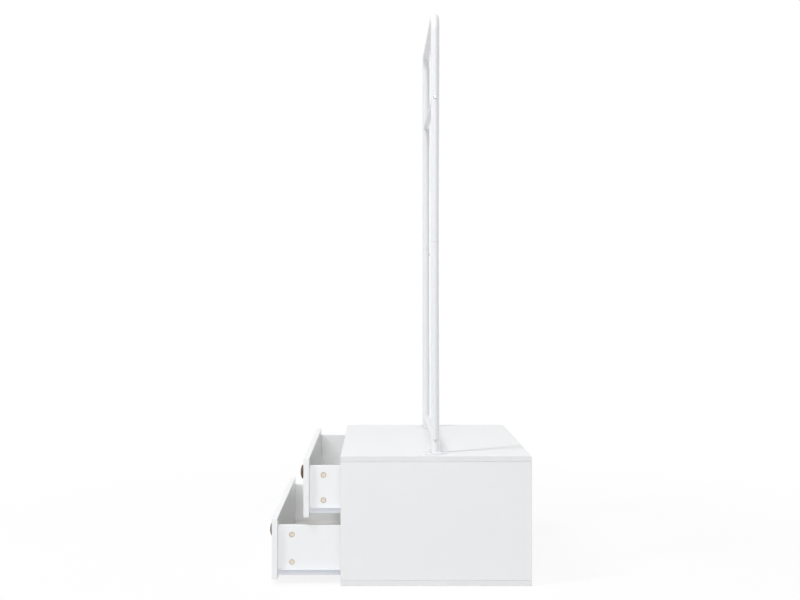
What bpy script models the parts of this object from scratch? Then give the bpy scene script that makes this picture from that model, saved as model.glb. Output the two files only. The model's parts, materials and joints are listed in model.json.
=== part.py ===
"""A clothes rail that stands on a two-drawer cabinet, as its separate pieces.

Units are metres. +Z is up, the drawers open towards -Y and the rail runs along X.
The origin is the centre of the cabinet's underside. The drawers stand partly open.
"""

import math

import bmesh
import bpy
from mathutils import Matrix, Vector

# Fit between neighbouring faces
FIT_GAP = 0.0003

# Cabinet boards
CABINET_WIDTH = 0.800
CABINET_DEPTH = 0.547
CABINET_HEIGHT = 0.371
BOARD_THICKNESS = 0.016
EDGE_ROUND = 0.0008
BACK_PANEL_THICKNESS = 0.003
BACK_PANEL_INSET = 0.010
BACK_GROOVE_DEPTH = 0.006

# Drawer fronts, which lie over the cabinet's front edges
FRONT_THICKNESS = 0.016
FRONT_SIDE_REVEAL = 0.014
FRONT_TOP_REVEAL = 0.010
FRONT_BOTTOM_REVEAL = 0.0155
FRONT_SPACING = 0.004
UPPER_FRONT_HEIGHT = 0.1675

# Drawer boxes
DRAWER_REAR_SPACE = 0.034
DRAWER_SIDE_THICKNESS = 0.015
DRAWER_SIDE_RISE = 0.0115
DRAWER_SIDE_DROP = 0.021
DRAWER_BACK_THICKNESS = 0.015
DRAWER_BACK_DROP = 0.004
DRAWER_BOTTOM_THICKNESS = 0.003
DRAWER_BOTTOM_RISE = 0.012
DRAWER_GROOVE_DEPTH = 0.006
UPPER_DRAWER_OPEN = 0.091
LOWER_DRAWER_OPEN = 0.182
DRAWER_TRAVEL = 0.360

# Cam locks that draw the drawer sides to the fronts
CAM_DIAMETER = 0.0144
CAM_DEPTH = 0.0115
CAM_SETBACK = 0.041
CAM_FOOT = 0.0355
CAM_HEAD = 0.0270
CAM_SLOT_LENGTH = 0.0084
CAM_SLOT_WIDTH = 0.0016
CAM_SLOT_DEPTH = 0.0020

# Roller runners
RUNNER_SPACE = 0.0125
RUNNER_STEEL = 0.0012
RUNNER_STRIP_HEIGHT = 0.0167
RUNNER_LIP = 0.012
RUNNER_PLAY = 0.0013
RUNNER_FRONT_SETBACK = 0.002
CHANNEL_LIP = 0.005
STOP_HEIGHT = 0.006
ROLLER_DIAMETER = 0.018
ROLLER_WIDTH = 0.006
ROLLER_CROWN = 0.0007
ROLLER_CROWN_WIDTH = 0.0014
ROLLER_SIDE_PLAY = 0.0005
ROLLER_INSET = 0.014
ROLLER_STEP = 0.0005
AXLE_DIAMETER = 0.006
AXLE_HEAD_DIAMETER = 0.009
AXLE_HEAD_THICKNESS = 0.001

# Turned knobs
KNOB_INSET = 0.160
KNOB_DROP = 0.058
KNOB_DIAMETER = 0.042
KNOB_NECK_DIAMETER = 0.020
KNOB_RIM_HEIGHT = 0.0095
KNOB_PROJECTION = 0.017
KNOB_STUD_DIAMETER = 0.005
KNOB_STUD_LENGTH = 0.011

# Rack tubes, with heights measured from the cabinet's top
RACK_HEIGHT = 1.290
POST_INSET = 0.070
POST_DIAMETER = 0.025
TUBE_WALL = 0.0012
BEND_RADIUS = 0.048
POST_JOINT_HEIGHT = 0.615
SPIGOT_LENGTH = 0.060
SWAGE_RISE = 0.0024
RAIL_DIAMETER = 0.019
HANGING_RAIL_HEIGHT = 1.036
LOWER_RAIL_HEIGHT = 0.040
RAIL_PLUG_LENGTH = 0.025

# Foot flanges, welded to the posts
FLANGE_DIAMETER = 0.070
FLANGE_THICKNESS = 0.003
FLANGE_EDGE = 0.0006
FLANGE_WELD = 0.0015
FLANGE_HOLE_CIRCLE = 0.050
FLANGE_SCREW_COUNT = 3
FLANGE_FIRST_TURN = math.radians(90)

# Screws
RAIL_SCREW_DIAMETER = 0.006
RAIL_SCREW_GRIP = 0.018
RAIL_SCREW_HEAD_DIAMETER = 0.0105
RAIL_SCREW_HEAD_HEIGHT = 0.0033
JOINT_SCREW_DIAMETER = 0.005
JOINT_SCREW_LENGTH = 0.009
JOINT_SCREW_DROP = 0.017
JOINT_SCREW_TURN = math.radians(45)
JOINT_SCREW_HEAD_DIAMETER = 0.009
JOINT_SCREW_HEAD_HEIGHT = 0.0026
FLANGE_SCREW_DIAMETER = 0.004
FLANGE_SCREW_GRIP = 0.011
FLANGE_SCREW_HEAD_DIAMETER = 0.008
FLANGE_SCREW_HEAD_HEIGHT = 0.0024
HEAD_RIM_SHARE = 0.35
HEAD_CROWN_SHARE = 0.68
SOCKET_SHARE = 0.44
SOCKET_DEPTH_SHARE = 0.6

# Facets of round pieces
TUBE_SIDES = 20
BEND_STEPS = 6
KNOB_SIDES = 24
KNOB_STEPS = 4
ROLLER_SIDES = 14
SCREW_SIDES = 12
HOLE_SIDES = 12
CAM_SIDES = 16
EDGE_STEPS = 1
MERGE_DISTANCE = 0.000001
SMOOTH_ANGLE = math.radians(35)
UP = Vector((0, 0, 1))

# Places worked out from the sizes above
HALF_WIDTH = CABINET_WIDTH / 2
HALF_DEPTH = CABINET_DEPTH / 2
PANEL_INNER = HALF_WIDTH - BOARD_THICKNESS
BACK_PANEL_REAR = HALF_DEPTH - BACK_PANEL_INSET
BACK_PANEL_FRONT = BACK_PANEL_REAR - BACK_PANEL_THICKNESS
BOX_HALF_WIDTH = PANEL_INNER - RUNNER_SPACE
DRAWER_LENGTH = BACK_PANEL_FRONT - DRAWER_REAR_SPACE + HALF_DEPTH
UPPER_FRONT_FOOT = CABINET_HEIGHT - FRONT_TOP_REVEAL - UPPER_FRONT_HEIGHT
LOWER_FRONT_HEIGHT = UPPER_FRONT_FOOT - FRONT_SPACING - FRONT_BOTTOM_REVEAL
POST_X = HALF_WIDTH - POST_INSET
POST_RADIUS = POST_DIAMETER / 2
POST_BORE = POST_RADIUS - TUBE_WALL
POST_FOOT = CABINET_HEIGHT + FIT_GAP
RACK_TOP = CABINET_HEIGHT + RACK_HEIGHT
POST_TOP = CABINET_HEIGHT + POST_JOINT_HEIGHT
HANGING_RAIL_LEVEL = CABINET_HEIGHT + HANGING_RAIL_HEIGHT
LOWER_RAIL_LEVEL = CABINET_HEIGHT + LOWER_RAIL_HEIGHT
RAIL_HOLE = RAIL_SCREW_DIAMETER / 2 + FIT_GAP
JOINT_HOLE = JOINT_SCREW_DIAMETER / 2 + FIT_GAP
FLANGE_HOLE = FLANGE_SCREW_DIAMETER / 2 + FIT_GAP
ROLLER_RADIUS = ROLLER_DIAMETER / 2

# Runner levels above the drawer side's lower edge, and faces out from the cabinet's middle
STRIP_FOOT = -FIT_GAP - RUNNER_STEEL
STRIP_TOP = STRIP_FOOT + RUNNER_STRIP_HEIGHT
TRACK_UNDERSIDE = STRIP_TOP - RUNNER_STEEL
FRONT_ROLLER_LEVEL = TRACK_UNDERSIDE - FIT_GAP - ROLLER_RADIUS
REAR_ROLLER_LEVEL = FRONT_ROLLER_LEVEL - ROLLER_STEP
CHANNEL_FLOOR = REAR_ROLLER_LEVEL - ROLLER_RADIUS - FIT_GAP
CHANNEL_LIP_UNDERSIDE = STRIP_TOP + RUNNER_PLAY
LEG_INNER = BOX_HALF_WIDTH + FIT_GAP
LEG_OUTER = LEG_INNER + RUNNER_STEEL
WEB_OUTER = PANEL_INNER - FIT_GAP
WEB_INNER = WEB_OUTER - RUNNER_STEEL

# Each finish is a colour in linear light, a roughness and a metallic value
WHITE_LAMINATE = ((0.86, 0.86, 0.85), 0.45, 0.0)
WHITE_POWDER_COAT = ((0.84, 0.84, 0.84), 0.35, 0.0)
GREY_EPOXY_STEEL = ((0.66, 0.67, 0.71), 0.40, 0.0)
WHITE_HARDBOARD = ((0.80, 0.79, 0.77), 0.60, 0.0)
CREAM_PLASTIC = ((0.80, 0.72, 0.60), 0.50, 0.0)
WHITE_NYLON = ((0.82, 0.82, 0.80), 0.40, 0.0)
BROWN_WOOD = ((0.12, 0.075, 0.045), 0.50, 0.0)
ZINC_PLATED_STEEL = ((0.62, 0.62, 0.63), 0.35, 1.0)


def clear_scene():
    """Remove whatever the scene starts with."""
    for obj in list(bpy.data.objects):
        bpy.data.objects.remove(obj, do_unlink=True)


def mesh_from(shape):
    """Turn a bmesh into mesh data with its faces pointing out, and free the bmesh."""
    bmesh.ops.recalc_face_normals(shape, faces=shape.faces[:])
    mesh = bpy.data.meshes.new("shape")
    shape.to_mesh(mesh)
    shape.free()
    return mesh


def box(low, high, edge_round=0.0):
    """A box between two corners, with its edges rounded if a radius is given."""
    shape = bmesh.new()
    bmesh.ops.create_cube(shape, size=1.0)
    for vert in shape.verts:
        vert.co = [low[i] if vert.co[i] < 0 else high[i] for i in range(3)]
    if edge_round:
        bmesh.ops.bevel(shape, geom=shape.edges[:], offset=edge_round, segments=EDGE_STEPS, affect="EDGES")
    return mesh_from(shape)


def prism(corners, travel):
    """A flat outline of 3-D corners, pushed along a vector into a solid."""
    shape = bmesh.new()
    face = shape.faces.new([shape.verts.new(corner) for corner in corners])
    pushed = bmesh.ops.extrude_face_region(shape, geom=[face])["geom"]
    far_verts = [item for item in pushed if isinstance(item, bmesh.types.BMVert)]
    bmesh.ops.translate(shape, verts=far_verts, vec=travel)
    return mesh_from(shape)


def turned(profile, sides, ring=False):
    """A shape turned about Z from (radius, height) points; a ring's profile is closed."""
    shape = bmesh.new()
    verts = [shape.verts.new((radius, 0.0, height)) for radius, height in profile]
    ends = verts[1:] + verts[:1] if ring else verts[1:]
    edges = [shape.edges.new(pair) for pair in zip(verts, ends)]
    bmesh.ops.spin(
        shape, geom=verts + edges, cent=(0, 0, 0), axis=(0, 0, 1), angle=math.tau, steps=sides, use_merge=True
    )
    bmesh.ops.remove_doubles(shape, verts=shape.verts[:], dist=MERGE_DISTANCE)
    return mesh_from(shape)


def rod(radius, start, end, sides=HOLE_SIDES):
    """A solid round rod between two points."""
    start = Vector(start)
    run = Vector(end) - start
    mesh = turned([(0, 0), (radius, 0), (radius, run.length), (0, run.length)], sides)
    mesh.transform(Matrix.Translation(start) @ UP.rotation_difference(run).to_matrix().to_4x4())
    return mesh


def combined(mesh, others, operation, solver):
    """The mesh with the other meshes cut away (DIFFERENCE) or joined on (UNION)."""
    body = bpy.data.objects.new("body", mesh)
    bpy.context.scene.collection.objects.link(body)
    tools = []
    for number, other in enumerate(others):
        tool = bpy.data.objects.new(f"tool_{number}", other)
        bpy.context.scene.collection.objects.link(tool)
        modifier = body.modifiers.new(f"boolean_{number}", "BOOLEAN")
        modifier.operation = operation
        modifier.solver = solver
        modifier.object = tool
        tools.append(tool)
    graph = bpy.context.evaluated_depsgraph_get()
    result = bpy.data.meshes.new_from_object(body.evaluated_get(graph))
    for obj in [body, *tools]:
        bpy.data.objects.remove(obj, do_unlink=True)
    return result


def cut(mesh, cutters):
    """The mesh with each cutter taken away."""
    return combined(mesh, cutters, "DIFFERENCE", "EXACT")


def joined(mesh, additions):
    """The mesh with each addition fused on; the exact solver leaves the long thin runners open here."""
    return combined(mesh, additions, "UNION", "MANIFOLD")


def frame(name, location):
    """An empty that carries the pieces of one sub-assembly."""
    empty = bpy.data.objects.new(name, None)
    empty.location = location
    bpy.context.scene.collection.objects.link(empty)
    return empty


def piece(name, mesh, finish, parent, location=(0, 0, 0), facing=(0, 0, 1)):
    """One named object: its mesh, its own material and its place in its parent's frame."""
    obj = bpy.data.objects.new(name, mesh.copy())
    obj.data.name = name
    obj.parent = parent
    obj.location = location
    obj.rotation_euler = UP.rotation_difference(Vector(facing)).to_euler()
    bpy.context.scene.collection.objects.link(obj)
    colour, roughness, metallic = finish
    material = bpy.data.materials.new(f"{name}_finish")
    material.use_nodes = True
    shader = material.node_tree.nodes["Principled BSDF"]
    shader.inputs["Base Color"].default_value = (*colour, 1.0)
    shader.inputs["Roughness"].default_value = roughness
    shader.inputs["Metallic"].default_value = metallic
    obj.data.materials.clear()
    obj.data.materials.append(material)
    obj.data.shade_smooth()
    obj.data.set_sharp_from_angle(angle=SMOOTH_ANGLE)
    return obj


def centred(name, mesh, finish, parent):
    """A piece drawn in its parent's frame, with its origin moved to the middle of its box."""
    points = [vert.co for vert in mesh.vertices]
    low = Vector([min(point[i] for point in points) for i in range(3)])
    high = Vector([max(point[i] for point in points) for i in range(3)])
    middle = (low + high) / 2
    mesh.transform(Matrix.Translation(-middle))
    return piece(name, mesh, finish, parent, location=middle)


def socket_cutter(across, depth):
    """A six-sided key socket that opens at z = 0 and goes down."""
    corners = [
        (across / 2 * math.cos(i * math.pi / 3), across / 2 * math.sin(i * math.pi / 3), -depth)
        for i in range(6)
    ]
    return prism(corners, (0, 0, 2 * depth))


def cross_cutter(length, width, depth):
    """A cross slot that opens at z = 0 and goes down."""
    long, short = length / 2, width / 2
    quarter = [(long, -short), (long, short), (short, short)]
    corners = []
    for turn in range(4):
        c, s = round(math.cos(turn * math.pi / 2)), round(math.sin(turn * math.pi / 2))
        corners += [(x * c - y * s, x * s + y * c, -depth) for x, y in quarter]
    return prism(corners, (0, 0, 2 * depth))


def moved(mesh, offset):
    """The mesh shifted by an offset."""
    mesh.transform(Matrix.Translation(offset))
    return mesh


def screw(diameter, length, head_diameter, head_height):
    """A button-head screw with a key socket; z = 0 is under its head."""
    head, shank = head_diameter / 2, diameter / 2
    rim, crown = head_height * HEAD_RIM_SHARE, head * HEAD_CROWN_SHARE
    profile = [(0, head_height), (crown, head_height), (head, rim), (head, 0)]
    profile += [(shank, 0), (shank, -length), (0, -length)]
    socket = socket_cutter(head_diameter * SOCKET_SHARE, head_height * SOCKET_DEPTH_SHARE)
    return cut(turned(profile, SCREW_SIDES), [moved(socket, (0, 0, head_height))])


def flange_hole_places():
    """Where the screws of a foot flange stand, round its post."""
    radius = FLANGE_HOLE_CIRCLE / 2
    turns = [FLANGE_FIRST_TURN + math.tau * i / FLANGE_SCREW_COUNT for i in range(FLANGE_SCREW_COUNT)]
    return [(radius * math.cos(turn), radius * math.sin(turn)) for turn in turns]


def build_cabinet(cabinet):
    """The boards of the cabinet: top and bottom run over the side panels, the back sits in grooves."""
    seat = BOARD_THICKNESS
    groove_half = PANEL_INNER + BACK_GROOVE_DEPTH
    groove_low = seat - BACK_GROOVE_DEPTH
    groove_high = CABINET_HEIGHT - seat + BACK_GROOVE_DEPTH
    groove = box(
        (-groove_half, BACK_PANEL_FRONT - FIT_GAP, groove_low),
        (groove_half, BACK_PANEL_REAR + FIT_GAP, groove_high),
    )
    pilots = []
    for side in (-1, 1):
        for x, y in flange_hole_places():
            top = (side * POST_X + x, y, CABINET_HEIGHT + FIT_GAP)
            bottom = (top[0], y, CABINET_HEIGHT - FLANGE_SCREW_GRIP - FIT_GAP)
            pilots.append(rod(FLANGE_HOLE, bottom, top))
    low, high = Vector((-HALF_WIDTH, -HALF_DEPTH, 0)), Vector((HALF_WIDTH, HALF_DEPTH, seat))
    lift = Vector((0, 0, CABINET_HEIGHT - seat))
    top_board = cut(box(low + lift, high + lift, EDGE_ROUND), [groove, *pilots])
    bottom_board = cut(box(low, high, EDGE_ROUND), [groove])
    centred("top_board", top_board, WHITE_LAMINATE, cabinet)
    centred("bottom_board", bottom_board, WHITE_LAMINATE, cabinet)
    for name, left, right in (
        ("right", PANEL_INNER, HALF_WIDTH),
        ("left", -HALF_WIDTH, -PANEL_INNER),
    ):
        panel = box(
            (left, -HALF_DEPTH, seat + FIT_GAP),
            (right, HALF_DEPTH, CABINET_HEIGHT - seat - FIT_GAP),
            EDGE_ROUND,
        )
        centred(f"{name}_side_panel", cut(panel, [groove]), WHITE_LAMINATE, cabinet)
    back = box(
        (-groove_half + FIT_GAP, BACK_PANEL_FRONT, groove_low + FIT_GAP),
        (groove_half - FIT_GAP, BACK_PANEL_REAR, groove_high - FIT_GAP),
    )
    centred("back_panel", back, WHITE_HARDBOARD, cabinet)


def arch_stations(leg_levels):
    """Centre points and turn angles of the arch, from the left leg's foot round to the right leg's foot."""
    crown = RACK_TOP - POST_RADIUS
    spring = crown - BEND_RADIUS
    left = [(-POST_X, level, math.pi) for level in leg_levels]
    bends = []
    for centre, first in ((-POST_X + BEND_RADIUS, math.pi), (POST_X - BEND_RADIUS, math.pi / 2)):
        for step in range(BEND_STEPS + 1):
            angle = first - step / BEND_STEPS * math.pi / 2
            x = centre + BEND_RADIUS * math.cos(angle)
            bends.append((x, spring + BEND_RADIUS * math.sin(angle), angle))
    right = [(POST_X, level, 0.0) for level in reversed(leg_levels)]
    return left + bends + right


def arch_mesh():
    """The arch: one bent tube whose legs end in spigots that go down into the posts."""
    shoulder = POST_TOP + FIT_GAP
    foot = POST_TOP - SPIGOT_LENGTH
    spigot = POST_BORE - FIT_GAP
    bore_step = shoulder + SWAGE_RISE
    outer = arch_stations([foot, shoulder, shoulder])
    inner = arch_stations([foot, bore_step, bore_step])
    sizes = [spigot, spigot] + [POST_RADIUS] * (len(outer) - 4) + [spigot, spigot]
    walls = list(zip(outer, sizes)) + [
        (station, size - TUBE_WALL) for station, size in reversed(list(zip(inner, sizes)))
    ]
    shape = bmesh.new()
    rings = []
    for (x, z, angle), radius in walls:
        outward = Vector((math.cos(angle), 0, math.sin(angle)))
        ring = []
        for side in range(TUBE_SIDES):
            turn = math.tau * side / TUBE_SIDES
            offset = outward * math.cos(turn) + Vector((0, math.sin(turn), 0))
            ring.append(shape.verts.new(Vector((x, 0, z)) + radius * offset))
        rings.append(ring)
    for ring, following in zip(rings, rings[1:] + rings[:1]):
        for side in range(TUBE_SIDES):
            after = (side + 1) % TUBE_SIDES
            shape.faces.new((ring[side], ring[after], following[after], following[side]))
    return mesh_from(shape)


def joint_screw_facing(side):
    """The way a joint screw's head faces: inwards, turned towards the back."""
    return Vector((-side * math.cos(JOINT_SCREW_TURN), math.sin(JOINT_SCREW_TURN), 0))


def build_rack(rack):
    """The tube rack: posts with foot flanges, the arch, two rails and the screws that hold them."""
    joint_level = POST_TOP - JOINT_SCREW_DROP
    arch_holes = []
    for side in (-1, 1):
        inside = (side * (POST_X - POST_DIAMETER), 0, HANGING_RAIL_LEVEL)
        outside = (side * (POST_X + POST_DIAMETER), 0, HANGING_RAIL_LEVEL)
        arch_holes.append(rod(RAIL_HOLE, inside, outside))
        axis = Vector((side * POST_X, 0, joint_level))
        arch_holes.append(rod(JOINT_HOLE, axis, axis + joint_screw_facing(side) * POST_DIAMETER))
    centred("rack_arch", cut(arch_mesh(), arch_holes), WHITE_POWDER_COAT, rack)

    flange = FLANGE_DIAMETER / 2
    height = POST_TOP - POST_FOOT
    post_profile = [
        (POST_BORE, 0),
        (POST_BORE, height),
        (POST_RADIUS, height),
        (POST_RADIUS, FLANGE_THICKNESS + FLANGE_WELD),
        (POST_RADIUS + FLANGE_WELD, FLANGE_THICKNESS),
        (flange - FLANGE_EDGE, FLANGE_THICKNESS),
        (flange, FLANGE_THICKNESS - FLANGE_EDGE),
        (flange, 0),
    ]
    rail_screw = screw(
        RAIL_SCREW_DIAMETER,
        POST_DIAMETER + 2 * FIT_GAP + RAIL_SCREW_GRIP,
        RAIL_SCREW_HEAD_DIAMETER,
        RAIL_SCREW_HEAD_HEIGHT,
    )
    joint_screw = screw(
        JOINT_SCREW_DIAMETER, JOINT_SCREW_LENGTH, JOINT_SCREW_HEAD_DIAMETER, JOINT_SCREW_HEAD_HEIGHT
    )
    flange_screw = screw(
        FLANGE_SCREW_DIAMETER,
        FLANGE_THICKNESS + FIT_GAP + FLANGE_SCREW_GRIP,
        FLANGE_SCREW_HEAD_DIAMETER,
        FLANGE_SCREW_HEAD_HEIGHT,
    )
    lower_level = LOWER_RAIL_LEVEL - POST_FOOT
    for name, side in (("right", 1), ("left", -1)):
        outwards = (side, 0, 0)
        facing = joint_screw_facing(side)
        axis = Vector((0, 0, joint_level - POST_FOOT))
        holes = [
            rod(RAIL_HOLE, (-POST_DIAMETER, 0, lower_level), (POST_DIAMETER, 0, lower_level)),
            rod(JOINT_HOLE, axis, axis + facing * POST_DIAMETER),
        ]
        holes += [
            rod(FLANGE_HOLE, (x, y, -FLANGE_THICKNESS), (x, y, 2 * FLANGE_THICKNESS))
            for x, y in flange_hole_places()
        ]
        post = cut(turned(post_profile, TUBE_SIDES, ring=True), holes)
        piece(f"{name}_post", post, WHITE_POWDER_COAT, rack, location=(side * POST_X, 0, POST_FOOT))
        head_x = side * (POST_X + POST_RADIUS + FIT_GAP)
        for rail, level in (("hanging", HANGING_RAIL_LEVEL), ("lower", LOWER_RAIL_LEVEL)):
            piece(
                f"{rail}_rail_{name}_screw",
                rail_screw,
                ZINC_PLATED_STEEL,
                rack,
                location=(head_x, 0, level),
                facing=outwards,
            )
        seat = Vector((side * POST_X, 0, joint_level)) + facing * (POST_RADIUS + FIT_GAP)
        piece(f"{name}_joint_screw", joint_screw, ZINC_PLATED_STEEL, rack, location=seat, facing=facing)
        for number, (x, y) in enumerate(flange_hole_places(), start=1):
            piece(
                f"{name}_flange_screw_{number}",
                flange_screw,
                ZINC_PLATED_STEEL,
                rack,
                location=(side * POST_X + x, y, POST_FOOT + FLANGE_THICKNESS + FIT_GAP),
            )

    rail = RAIL_DIAMETER / 2
    bore = rail - TUBE_WALL
    bore_end = POST_X - POST_RADIUS - RAIL_PLUG_LENGTH
    rail_profile = [
        (rail, -POST_X),
        (rail, POST_X),
        (RAIL_HOLE, POST_X),
        (RAIL_HOLE, bore_end),
        (bore, bore_end),
        (bore, -bore_end),
        (RAIL_HOLE, -bore_end),
        (RAIL_HOLE, -POST_X),
    ]
    for name, level in (("hanging_rail", HANGING_RAIL_LEVEL), ("lower_rail", LOWER_RAIL_LEVEL)):
        saddles = []
        for side in (-1, 1):
            reach = Vector((RAIL_DIAMETER, 0, 0))
            centre = Vector((0, 0, side * POST_X))
            saddles.append(rod(POST_RADIUS + FIT_GAP, centre - reach, centre + reach, TUBE_SIDES))
        tube = cut(turned(rail_profile, TUBE_SIDES, ring=True), saddles)
        piece(name, tube, WHITE_POWDER_COAT, rack, location=(0, 0, level), facing=(1, 0, 0))


def axle(start, side, length):
    """A riveted axle along X: a pin with a head at its far end."""
    start = Vector(start)
    end = start + Vector((side * length, 0, 0))
    head = end + Vector((side * AXLE_HEAD_THICKNESS, 0, 0))
    pin = rod(AXLE_DIAMETER / 2, start, end + (head - end) / 2)
    return joined(pin, [rod(AXLE_HEAD_DIAMETER / 2, end, head)])


def roller_mesh():
    """A nylon roller with a crowned tread, turned about Z and centred on its width."""
    half = ROLLER_WIDTH / 2
    bore = AXLE_DIAMETER / 2 + FIT_GAP
    rim = ROLLER_RADIUS - ROLLER_CROWN
    tread = half - ROLLER_CROWN_WIDTH
    profile = [
        (bore, -half),
        (bore, half),
        (rim, half),
        (ROLLER_RADIUS, tread),
        (ROLLER_RADIUS, -tread),
        (rim, -half),
    ]
    return turned(profile, ROLLER_SIDES, ring=True)


def build_cabinet_runners(cabinet, drawer_name, foot):
    """The two channels on the cabinet's side panels for one drawer, each with its front roller."""
    front = -HALF_DEPTH + RUNNER_FRONT_SETBACK
    roller_y = front + ROLLER_INSET
    stop_y = -HALF_DEPTH - DRAWER_TRAVEL + DRAWER_LENGTH - ROLLER_INSET - ROLLER_RADIUS - FIT_GAP
    floor_end = LEG_OUTER + RUNNER_PLAY
    floor_foot = CHANNEL_FLOOR - RUNNER_STEEL
    lip_top = CHANNEL_LIP_UNDERSIDE + RUNNER_STEEL
    axle_length = ROLLER_WIDTH + 2 * ROLLER_SIDE_PLAY
    outline = [
        (WEB_OUTER, floor_foot),
        (WEB_OUTER, lip_top),
        (WEB_INNER - CHANNEL_LIP, lip_top),
        (WEB_INNER - CHANNEL_LIP, CHANNEL_LIP_UNDERSIDE),
        (WEB_INNER, CHANNEL_LIP_UNDERSIDE),
        (WEB_INNER, CHANNEL_FLOOR),
        (floor_end, CHANNEL_FLOOR),
        (floor_end, floor_foot),
    ]
    for name, side in (("right", 1), ("left", -1)):
        channel = prism([(side * x, front, foot + z) for x, z in outline], (0, DRAWER_LENGTH, 0))
        ends = sorted((side * (floor_end + RUNNER_STEEL), side * (WEB_OUTER - RUNNER_STEEL / 2)))
        stop = box(
            (ends[0], stop_y - RUNNER_STEEL, foot + CHANNEL_FLOOR - RUNNER_STEEL / 2),
            (ends[1], stop_y, foot + CHANNEL_FLOOR + STOP_HEIGHT),
        )
        level = foot + FRONT_ROLLER_LEVEL
        root = side * (WEB_OUTER - RUNNER_STEEL / 2)
        pin = axle((root, roller_y, level), -side, axle_length + RUNNER_STEEL / 2)
        mesh = joined(channel, [stop, pin])
        centred(f"{drawer_name}_{name}_cabinet_runner", mesh, GREY_EPOXY_STEEL, cabinet)
        roller_x = side * (WEB_INNER - ROLLER_SIDE_PLAY - ROLLER_WIDTH / 2)
        piece(
            f"{drawer_name}_{name}_front_roller",
            roller_mesh(),
            WHITE_NYLON,
            cabinet,
            location=(roller_x, roller_y, level),
            facing=(1, 0, 0),
        )


def build_drawer_runners(drawer, drawer_name):
    """The two strips on a drawer's sides, each with its rear roller."""
    track_end = WEB_INNER - RUNNER_PLAY
    lip_end = BOX_HALF_WIDTH - RUNNER_LIP
    axle_length = ROLLER_WIDTH + 2 * ROLLER_SIDE_PLAY
    roller_y = DRAWER_LENGTH - ROLLER_INSET
    outline = [
        (LEG_OUTER, STRIP_FOOT),
        (LEG_OUTER, TRACK_UNDERSIDE),
        (track_end, TRACK_UNDERSIDE),
        (track_end, STRIP_TOP),
        (LEG_INNER, STRIP_TOP),
        (LEG_INNER, -FIT_GAP),
        (lip_end, -FIT_GAP),
        (lip_end, STRIP_FOOT),
    ]
    for name, side in (("right", 1), ("left", -1)):
        strip = prism([(side * x, FIT_GAP, z) for x, z in outline], (0, DRAWER_LENGTH - FIT_GAP, 0))
        root = side * (LEG_OUTER - RUNNER_STEEL / 2)
        pin = axle((root, roller_y, REAR_ROLLER_LEVEL), side, axle_length + RUNNER_STEEL / 2)
        centred(f"{drawer_name}_{name}_drawer_runner", joined(strip, [pin]), GREY_EPOXY_STEEL, drawer)
        roller_x = side * (LEG_OUTER + ROLLER_SIDE_PLAY + ROLLER_WIDTH / 2)
        piece(
            f"{drawer_name}_{name}_rear_roller",
            roller_mesh(),
            WHITE_NYLON,
            drawer,
            location=(roller_x, roller_y, REAR_ROLLER_LEVEL),
            facing=(1, 0, 0),
        )


def knob_mesh():
    """A turned knob with a flared neck, a domed face and a stud; z = 0 is its foot."""
    neck, rim, stud = KNOB_NECK_DIAMETER / 2, KNOB_DIAMETER / 2, KNOB_STUD_DIAMETER / 2
    quarter = [i / KNOB_STEPS * math.pi / 2 for i in range(KNOB_STEPS + 1)]
    flare = [(neck + (rim - neck) * (1 - math.cos(a)), KNOB_RIM_HEIGHT * math.sin(a)) for a in quarter]
    rise = KNOB_PROJECTION - KNOB_RIM_HEIGHT
    dome = [(rim * math.cos(a), KNOB_RIM_HEIGHT + rise * math.sin(a)) for a in quarter[1:-1]]
    profile = [(0, KNOB_PROJECTION), *reversed(dome), *reversed(flare)]
    profile += [(stud, 0), (stud, -KNOB_STUD_LENGTH), (0, -KNOB_STUD_LENGTH)]
    return turned(profile, KNOB_SIDES)


def cam_mesh():
    """A cam lock with a cross slot; z = 0 is its face."""
    radius = CAM_DIAMETER / 2
    profile = [(0, 0), (radius, 0), (radius, -CAM_DEPTH), (0, -CAM_DEPTH)]
    slot = cross_cutter(CAM_SLOT_LENGTH, CAM_SLOT_WIDTH, CAM_SLOT_DEPTH)
    return cut(turned(profile, CAM_SIDES), [slot])


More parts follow.
